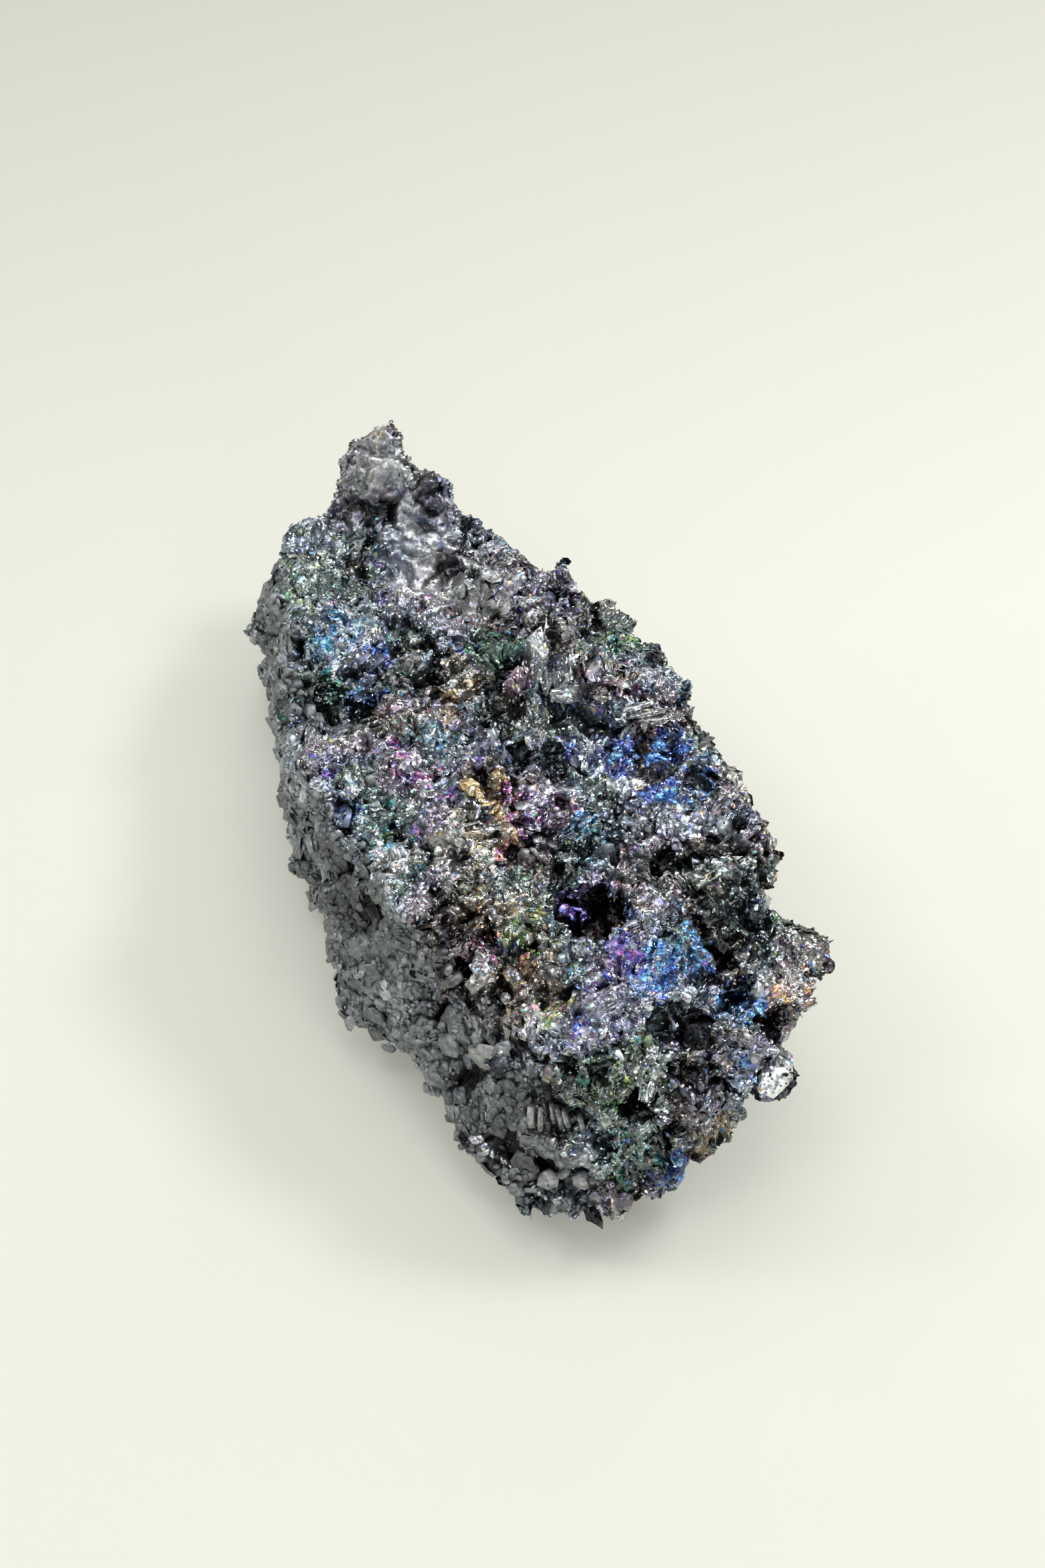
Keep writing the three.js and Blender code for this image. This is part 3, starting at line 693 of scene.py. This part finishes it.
def crystalForm(form):
    # points, faces and the corner each point belongs to, of one crystal 1 across and 1 thick
    bpy.ops.object.select_all(action="DESELECT")
    if form == "shard":
        bpy.ops.mesh.primitive_uv_sphere_add(segments=4, ring_count=2, radius=0.5)
    elif form == "scale":
        bpy.ops.mesh.primitive_cone_add(vertices=5, radius1=0.5, depth=1, end_fill_type="NOTHING")
    else:
        sides = 6 if form == "plate" else 5
        bpy.ops.mesh.primitive_cylinder_add(vertices=sides, radius=0.5, depth=1)
    obj = bpy.context.object
    mesh = obj.data
    if form in ("plate", "flake"):
        for head in (False, True):
            bpy.ops.object.mode_set(mode="OBJECT")
            for polygon in mesh.polygons:
                polygon.select = polygon.normal.z > 0.9 if head else polygon.normal.z < -0.9
            bpy.ops.object.mode_set(mode="EDIT")
            bpy.ops.mesh.select_mode(type="FACE")
            if not head:  # the foot is sunk in the crust, so it stays open
                bpy.ops.mesh.delete(type="ONLY_FACE")
                continue
            bpy.ops.transform.resize(value=(0.92, 0.92, 1))
            if form == "flake":
                bpy.ops.mesh.poke()
        bpy.ops.object.mode_set(mode="OBJECT")
    pts = readVectors(mesh.vertices, "co", len(mesh.vertices))
    faces = [tuple(polygon.vertices) for polygon in mesh.polygons]
    around = np.round(np.arctan2(pts[:, 1], pts[:, 0]) / (2 * math.pi) * 60).astype(int) % 60
    corners = np.unique(around, return_inverse=True)[1]
    bpy.data.objects.remove(obj)
    return pts, faces, corners


def sampleSkin(skin, count, rng):
    # points spread evenly over the crust, each with the corners of its triangle
    tris = skin["tris"]
    a, b, c = (skin["co"][tris[:, k]] for k in range(3))
    area = np.linalg.norm(np.cross(b - a, c - a), axis=1)
    pick = rng.choice(len(tris), count, p=area / area.sum())
    u, v = rng.random((2, count, 1))
    flip = u + v > 1
    u, v = np.where(flip, 1 - u, u), np.where(flip, 1 - v, v)
    return a[pick] + (b[pick] - a[pick]) * u + (c[pick] - a[pick]) * v, tris[pick]


def formOffsets(pts, corners, axis, across, size, uneven, bulge, rng):
    # every point of every crystal, in mm from its middle
    jitter = (1 + rng.uniform(-uneven, uneven, (len(axis), corners.max() + 1)))[:, corners]
    peak = (np.hypot(pts[:, 0], pts[:, 1]) < 0.1) & (pts[:, 2] > 0.4)  # middle of a flake's head
    x = pts[None, :, 0] * jitter * size[0][:, None]
    y = pts[None, :, 1] * jitter * size[1][:, None]
    z = pts[None, :, 2] * size[2][:, None] + peak[None, :] * bulge[:, None]
    offsets = x[..., None] * across[:, None] + y[..., None] * np.cross(axis, across)[:, None]
    return offsets + z[..., None] * axis[:, None]


def joinCrystals(name, verts, faces, values):
    # all crystals of a kind in one mesh; every crystal has its own value of each attribute
    count = len(verts)
    sizes = np.tile([len(f) for f in faces], count)
    flat = np.concatenate([np.array(f) for f in faces])
    first = np.arange(count)[:, None] * verts.shape[1]
    mesh = bpy.data.meshes.new(name)
    mesh.vertices.add(verts.shape[0] * verts.shape[1])
    mesh.vertices.foreach_set("co", verts.ravel())
    mesh.loops.add(len(flat) * count)
    mesh.loops.foreach_set("vertex_index", (flat[None, :] + first).ravel())
    mesh.polygons.add(len(sizes))
    mesh.polygons.foreach_set("loop_start", np.concatenate([[0], np.cumsum(sizes)[:-1]]))
    mesh.update(calc_edges=True)
    for key, value in values.items():
        setAttribute(mesh, key, np.repeat(value, len(faces)), "FACE")
    obj = bpy.data.objects.new(name, mesh)
    bpy.context.scene.collection.objects.link(obj)
    print(name + ":", count, "crystals,", int((sizes - 2).sum()), "triangles")
    return obj


def findSites(kind, skin, rng):
    # where a kind grows: rarely in a crevice or underneath, and clear of the large plates
    look, where = crystalGrowth, kind["where"]
    at, tri = sampleSkin(skin, kind["count"] * look["tries"][where], rng)
    n = unit(skin["normal"][tri].mean(1))
    side = greySide(at, n)
    calm = np.clip(reach(at, calmPlaces), 0, 1)
    depth = skin["lift"][tri].mean(1)
    chance = side if where == "side" else 1 - look["sideLoss"][where] * side
    few, more = look["creviceShare"]
    chance = chance * (few + more * smooth(depth, *look["crevice"]))
    if where != "side":
        wide = "wide" if kind["width"][1] > look["wideFrom"] else "small"
        chance = chance * (1 - look["calmLoss"][wide] * calm)
    chance = chance * (1 - look["underLoss"] * smooth(-n[:, 2], *look["under"]))
    for _, middle, _, size in leadPlaces():
        away = np.linalg.norm(at / mm - middle, axis=1) / (look["leadSize"] * size[0])
        chance = chance * (1 - look["leadLoss"] * np.exp(-away ** 4))
    grows = (rng.random(len(at)) < chance) & (at[:, 2] > look["lowest"] * mm)
    keep = np.flatnonzero(grows)[:kind["count"]]
    return at[keep], n[keep], side[keep], calm[keep], depth[keep]


def standCrystals(kind, at, n, calm, rng):
    # the axis of each crystal and a direction across it, shared by its cluster or turned by a fan
    _, _, rnd = cells(at, kind["cluster"], salt=7.7)
    own = unit(rng.normal(size=(len(at), 3)))
    shared = unit(rnd - 0.5)
    for centre, far, pull in fans:
        spoke = at / mm - np.array(centre)
        pull = pull * np.exp(-(np.linalg.norm(spoke, axis=1) / far) ** 4)[:, None]
        turned = np.cross(n, unit(spoke)) * pull * np.sign(rnd[:, :1] - 0.5)
        shared = unit(shared * (1 - pull) + turned)
    calmer = 1 - crystalGrowth["steady"] * calm[:, None]
    axis = unit(n + shared * kind["lean"] * calmer + own * kind["spread"] * calmer)
    across = unit(np.cross(axis, unit(rnd[:, ::-1] - 0.5) + own * crystalGrowth["ownTurn"]))
    return axis, across


def finishCrystals(centre, side, calm, width, rng):
    # shade and strength of the film, tone and dullness of each crystal
    look, film = crystalFinish, filmLook
    draws = rng.random((len(centre), 3))
    shade, strength = films(centre, draws)
    clump = look["clump"]
    _, _, rnd = cells(centre, clump["size"], salt=12.9)
    tone = look["base"] + look["light"]["by"] * draws[:, 2] ** look["light"]["rarity"]
    tone = tone * (1 - look["sideEven"] * side) + look["sideEven"] * side * look["sideTone"]
    patchy = clump["by"] * rnd[:, 1] ** clump["rarity"] * (1 - clump["sideLoss"] * side)
    tone *= (clump["base"] + patchy) * (1 + reach(centre, toneLightShadePlaces))
    tone *= chunkTone(centre, side)
    dull = look["dull"]
    worn = dull["most"] * smooth(rnd[:, 2] + dull["each"] * rng.random(len(centre)), *dull["from"])
    strength *= ((1 - film["sideLoss"] * side) * (1 - film["calmLoss"] * calm)
                 * (1 - look["wideLoss"] * smooth(width, *look["wide"])))
    matt = np.maximum.reduce([side, look["calmMatt"] * calm, worn])
    return {"shade": shade, "strength": strength, "tone": tone, "matt": matt}


def makeCrystals(name, kind, skin, rng):
    look = crystalShape
    at, n, side, calm, depth = findSites(kind, skin, rng)
    count = len(at)
    pts, faces, corners = crystalForm(kind["form"])
    axis, across = standCrystals(kind, at, n, calm, rng)
    low, high = kind["width"]
    width = low * (high / low) ** (rng.random(count) ** look["smallMore"])
    width = width * (1 - look["calmSize"] * calm)
    least, more = look["mouthSize"]
    width *= least + more * smooth(depth, *look["mouth"])
    thick = width * rng.uniform(*kind["thick"], count)
    height = rng.uniform(*kind["top"], count) * (1 - look["calmTop"] * calm)

    stack = kind.get("stack", 1)
    if stack > 1:
        book = look["book"]
        step = (np.arange(stack) - (stack - 1) / 2)[None, :] * thick[:, None] * book["gap"]
        slip = rng.normal(0, book["slip"], (count, stack)) * width[:, None]
        moved = step[..., None] * axis[:, None] + slip[..., None] * across[:, None]
        at = (at[:, None] + mm * moved).reshape(-1, 3)
        n, axis, across = (np.repeat(v, stack, 0) for v in (n, axis, across))
        side, calm = np.repeat(side, stack), np.repeat(calm, stack)
        width, thick, height = (np.repeat(v, stack) for v in (width, thick, height))
        count *= stack
        width = width * rng.uniform(*book["width"], count)
        height = height * rng.uniform(*book["top"], count)
        axis = unit(axis + rng.normal(0, book["tilt"], (count, 3)))

    stretch = rng.uniform(*look["stretch"], count)
    bulge = rng.uniform(*look["bulge"], count) * width * (kind["form"] == "flake")
    size = (width, width * stretch, thick)
    uneven = look["corners"][kind["form"]]
    offsets = formOffsets(pts, corners, axis, across, size, uneven, bulge, rng)
    extent = np.einsum("ijk,ik->ij", offsets, n).max(1)
    height = np.minimum(height, look["rooted"] * extent)
    centre = at + n * ((height - extent) * mm)[:, None]
    verts = centre[:, None] + offsets * mm
    above = verts[..., 2].min(1) > look["clear"] * mm
    values = finishCrystals(centre[above], side[above], calm[above], width[above], rng)
    return joinCrystals(name, verts[above], faces, values)


def makeLeadPlates():
    rng = np.random.default_rng(8)
    pts, faces, corners = crystalForm("plate")
    plain = {"shade": 0.2, "strength": 0.04, "tone": 1.0, "matt": 0.0}
    verts, values = [], {key: [] for key in plain}
    for lead, middle, axis, size in leadPlaces():
        across = unit(np.cross(axis, (0, 0, 1)))
        offsets = formOffsets(pts, corners, axis[None], across[None], size[:, None],
                              leadUneven["corners"], np.zeros(1), rng)
        verts.append((middle + offsets) * mm)
        for key, usual in plain.items():
            values[key].append(lead.get(key, usual))
    return joinCrystals("leadPlates", np.concatenate(verts), faces,
                        {key: np.array(value) for key, value in values.items()})


carbideLook = {
    "grey": (0.41, 0.435, 0.447, 1),
    "metallic": 0.95,
    "ior": 2.6,
    "patch": (1.9, 0.62),  # mm, size of the coarse and of the fine facets
    "turn": (0.18, 0.22),  # how far they turn from the skin
    "glint": {"above": 0.80, "turn": 1.4, "lighter": 1.9},  # fine facets that are mirrors
    "uneven": (0.7, 0.6),  # tone of the darkest fine facets, and how much lighter others are
    "lightest": 2.1,
    "rough": (0.20, 0.08),  # of the plain facets and of the mirrors
    "roughUneven": 0.10,
    "film": {"gain": 1.7, "lightest": 1.3, "wander": 0.12},  # films are lighter than the bare grey
    "speckle": {"above": 0.95, "strength": 0.8, "spread": 1.7},  # fine facets with their own film
    "dull": {"rough": 0.28, "flat": 0.92},  # where matt is 1
}


def makeMaterial():
    look = carbideLook
    mat = bpy.data.materials.new("silicon_carbide")
    mat.use_nodes = True
    nt = mat.node_tree
    nt.nodes.clear()
    new = nt.nodes.new
    link = nt.links.new
    out = new("ShaderNodeOutputMaterial")
    bsdf = new("ShaderNodeBsdfPrincipled")
    link(bsdf.outputs[0], out.inputs[0])
    bsdf.inputs["Metallic"].default_value = look["metallic"]
    bsdf.inputs["IOR"].default_value = look["ior"]

    def attribute(name):
        a = new("ShaderNodeAttribute")
        a.attribute_name = name
        return a.outputs["Fac"]

    def put(value, socket):
        if isinstance(value, (int, float, tuple)):
            socket.default_value = value
        else:
            link(value, socket)

    def maths(op, a, b=0.0):
        m = new("ShaderNodeMath")
        m.operation = op
        put(a, m.inputs[0])
        put(b, m.inputs[1])
        return m.outputs[0]

    def vector(op, a, b=None, scale=None):
        m = new("ShaderNodeVectorMath")
        m.operation = op
        put(a, m.inputs[0])
        if b is not None:
            put(b, m.inputs[1])
        if scale is not None:
            put(scale, m.inputs["Scale"])
        return m.outputs[0]

    def mix(factor, a, b, blend="MIX"):
        m = new("ShaderNodeMix")
        m.data_type = "RGBA"
        m.blend_type = blend
        put(factor, m.inputs["Factor"])
        put(a, m.inputs["A"])
        put(b, m.inputs["B"])
        return m.outputs["Result"]

    def lit(colour, level):
        levels = new("ShaderNodeCombineColor")
        for k in range(3):
            link(level, levels.inputs[k])
        return mix(1.0, colour, levels.outputs[0], "MULTIPLY")

    coords = new("ShaderNodeTexCoord").outputs["Object"]
    matt = attribute("matt")
    shiny = maths("SUBTRACT", 1.0, matt)

    facets = []
    for size in look["patch"]:
        patches = new("ShaderNodeTexVoronoi")
        patches.inputs["Scale"].default_value = 1 / (size * mm)
        link(coords, patches.inputs["Vector"])
        facets.append(patches.outputs["Color"])
    fine = new("ShaderNodeSeparateColor")
    link(facets[1], fine.inputs[0])
    fineA, fineB, fineC = fine.outputs

    ramp = new("ShaderNodeValToRGB")
    stops = ramp.color_ramp.elements
    while len(stops) > 1:
        stops.remove(stops[-1])
    for k, (place, colour) in enumerate(filmShades):
        stop = stops[0] if k == 0 else stops.new(place)
        stop.position = place
        stop.color = (*colour, 1)
    film, speck = look["film"], look["speckle"]
    speckle = maths("MULTIPLY", maths("GREATER_THAN", fineA, speck["above"]), shiny)
    wander = maths("MULTIPLY", maths("SUBTRACT", fineB, 0.5), film["wander"])
    ownShade = maths("ADD", attribute("shade"), wander)
    spread = maths("MULTIPLY", fineB, speck["spread"])
    strayShade = maths("FRACT", maths("ADD", spread, attribute("shade")))
    shade = maths("ADD", maths("MULTIPLY", ownShade, maths("SUBTRACT", 1.0, speckle)),
                  maths("MULTIPLY", strayShade, speckle))
    link(shade, ramp.inputs["Fac"])
    ownStrength = maths("MULTIPLY", speckle, speck["strength"])
    strength = maths("MAXIMUM", attribute("strength"), ownStrength)

    glint = look["glint"]
    darkest, lighter = look["uneven"]
    mirror = maths("MULTIPLY", maths("GREATER_THAN", fineC, glint["above"]), shiny)
    uneven = maths("ADD", darkest, maths("MULTIPLY", fineC, lighter))
    shining = maths("ADD", 1.0, maths("MULTIPLY", mirror, glint["lighter"] - 1))
    tone = maths("MULTIPLY", maths("MULTIPLY", attribute("tone"), uneven), shining)
    tone = maths("MINIMUM", tone, look["lightest"])
    filmTone = maths("MINIMUM", maths("MULTIPLY", tone, film["gain"]), film["lightest"])
    bare, tarnished = lit(look["grey"], tone), lit(ramp.outputs["Color"], filmTone)
    link(mix(strength, bare, tarnished), bsdf.inputs["Base Color"])

    plain, mirrored = look["rough"]
    rough = maths("SUBTRACT", plain, maths("MULTIPLY", mirror, plain - mirrored))
    rough = maths("ADD", rough, maths("MULTIPLY", fineB, look["roughUneven"]))
    rough = maths("ADD", rough, maths("MULTIPLY", matt, look["dull"]["rough"]))
    link(rough, bsdf.inputs["Roughness"])

    # every small patch of the surface faces its own way, which makes the glitter
    coarseTurn, fineTurn = look["turn"]
    fineTurn = maths("ADD", maths("MULTIPLY", mirror, glint["turn"]), fineTurn)
    uneasy = maths("SUBTRACT", 1.0, maths("MULTIPLY", matt, look["dull"]["flat"]))
    turned = new("ShaderNodeNewGeometry").outputs["Normal"]
    for colour, amount in zip(facets, (coarseTurn, fineTurn)):
        off = vector("SUBTRACT", colour, (0.5, 0.5, 0.5))
        off = vector("SCALE", off, scale=maths("MULTIPLY", uneasy, amount))
        turned = vector("ADD", turned, off)
    link(vector("NORMALIZE", turned), bsdf.inputs["Normal"])
    return mat


crust, skin = makeCrust()
dressCrust(crust, skin)
carbide = makeMaterial()
pieces = splitCrust(crust)
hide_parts(carbideNode)
for k, (name, kind) in enumerate(crystalKinds.items()):
    pieces.append(makeCrystals(name, kind, skin, np.random.default_rng(100 + k)))
pieces.append(makeLeadPlates())
for piece in pieces:
    piece.data.materials.append(carbide)
    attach(piece, "root")
print("silicon carbide:", len(pieces), "pieces")


stageLook = {
    "paper": (0.64, 0.645, 0.57, 1),
    # painted shade: farther back the paper is darker, as the light falls off there
    "shadedFarPaper": (0.315, 0.31, 0.275, 1),
    "paperShadeFrom": (0.05, 0.55),  # m behind the middle, where painted shade darkens the paper towards the far end
    "roughPaper": 0.9,
    "glowOfPaper": 0.3,  # keeps the shadows on it pale
    "room": (0.04, 2.0),  # the dark and the bright parts of the room that the crystals mirror
    "roomParts": {"scale": 3.6, "edge": (0.47, 0.62)},
    "backdrop": (0.80, 0.80, 0.78, 1),
    "ceiling": {"at": (0.10, 0.05, 1.20), "size": (0.8, 0.8), "glow": 1.3},
    "window": {"at": (0.70, 0.06, 0.90), "size": (0.26, 0.24), "glow": 20.0},
    "door": {"at": (-0.55, 0.35, 0.8), "size": (0.16, 0.16), "glow": 9.0},
}


def setInputs(node, values):
    for name, value in values.items():
        node.inputs[name].default_value = value


def layPaper():
    look = stageLook
    bpy.ops.object.select_all(action="DESELECT")
    bpy.ops.mesh.primitive_plane_add(size=6, location=(0, 0, 0))
    floor = bpy.context.object
    floor.name = "paperFloor"
    paper = bpy.data.materials.new("paper")
    paper.use_nodes = True
    new, link = paper.node_tree.nodes.new, paper.node_tree.links.new
    sheet = paper.node_tree.nodes["Principled BSDF"]
    setInputs(sheet, {"Roughness": look["roughPaper"], "Specular IOR Level": 0.0,
                      "Emission Color": look["paper"], "Emission Strength": look["glowOfPaper"]})
    # painted shade: the paper darkens towards its far end
    place = new("ShaderNodeSeparateXYZ")
    link(new("ShaderNodeTexCoord").outputs["Object"], place.inputs[0])
    far = new("ShaderNodeMapRange")
    setInputs(far, {"From Min": look["paperShadeFrom"][0], "From Max": look["paperShadeFrom"][1]})
    link(place.outputs["Y"], far.inputs["Value"])
    shade = new("ShaderNodeMix")
    shade.data_type = "RGBA"
    setInputs(shade, {"A": look["paper"], "B": look["shadedFarPaper"]})
    link(far.outputs["Result"], shade.inputs["Factor"])
    link(shade.outputs["Result"], sheet.inputs["Base Color"])
    floor.data.materials.append(paper)
    return floor


def makeRoom():
    # bright and dark parts, so that neighbouring facets differ; the camera sees a plain backdrop
    look = stageLook
    world = bpy.data.worlds.new("room")
    bpy.context.scene.world = world
    world.use_nodes = True
    new, link = world.node_tree.nodes.new, world.node_tree.links.new
    blotch = new("ShaderNodeTexNoise")
    setInputs(blotch, {"Scale": look["roomParts"]["scale"], "Detail": 1.0})
    link(new("ShaderNodeTexCoord").outputs["Generated"], blotch.inputs["Vector"])
    level = new("ShaderNodeMapRange")
    level.interpolation_type = "SMOOTHSTEP"
    low, high = look["roomParts"]["edge"]
    dark, bright = look["room"]
    setInputs(level, {"From Min": low, "From Max": high, "To Min": dark, "To Max": bright})
    link(blotch.outputs["Fac"], level.inputs["Value"])
    seen = new("ShaderNodeMix")
    seen.data_type = "RGBA"
    setInputs(seen, {"B": look["backdrop"]})
    link(new("ShaderNodeLightPath").outputs["Is Camera Ray"], seen.inputs["Factor"])
    link(level.outputs["Result"], seen.inputs["A"])
    link(seen.outputs["Result"], world.node_tree.nodes["Background"].inputs["Color"])


def hangLamp(name):
    look = stageLook[name]
    light = bpy.data.lights.new(name + "Light", "AREA")
    light.shape = "RECTANGLE"
    light.size, light.size_y = look["size"]
    light.energy = look["glow"] * math.pi * light.size * light.size_y
    lamp = bpy.data.objects.new(name + "Light", light)
    lamp.location = look["at"]
    lamp.rotation_euler = Vector(look["at"]).to_track_quat("Z", "Y").to_euler()
    bpy.context.scene.collection.objects.link(lamp)


floor = layPaper()
makeRoom()
for name in ("ceiling", "window", "door"):
    hangLamp(name)
print("stage: paper, room and lamps")

cameraLook = {
    "azimuth": -15.9,
    "elevation": 50,
    "distance": 650 * mm,
    "target": (3.5 * mm, 2.5 * mm, 30 * mm),
    "lens": 69.64,
    "sensor": 36,
}
cam = bpy.data.cameras.new("camera")
cam.lens = cameraLook["lens"]
cam.sensor_width = cameraLook["sensor"]
camera = bpy.data.objects.new("camera", cam)
az, el = math.radians(cameraLook["azimuth"]), math.radians(cameraLook["elevation"])
back = Vector((math.sin(az) * math.cos(el), -math.cos(az) * math.cos(el), math.sin(el)))
camera.location = Vector(cameraLook["target"]) + back * cameraLook["distance"]
camera.rotation_euler = back.to_track_quat("Z", "Y").to_euler()
bpy.context.scene.collection.objects.link(camera)
bpy.context.scene.camera = camera
bpy.context.scene.view_settings.view_transform = "Standard"
print("camera:", cameraLook["azimuth"], "degrees round,", cameraLook["elevation"], "degrees up")
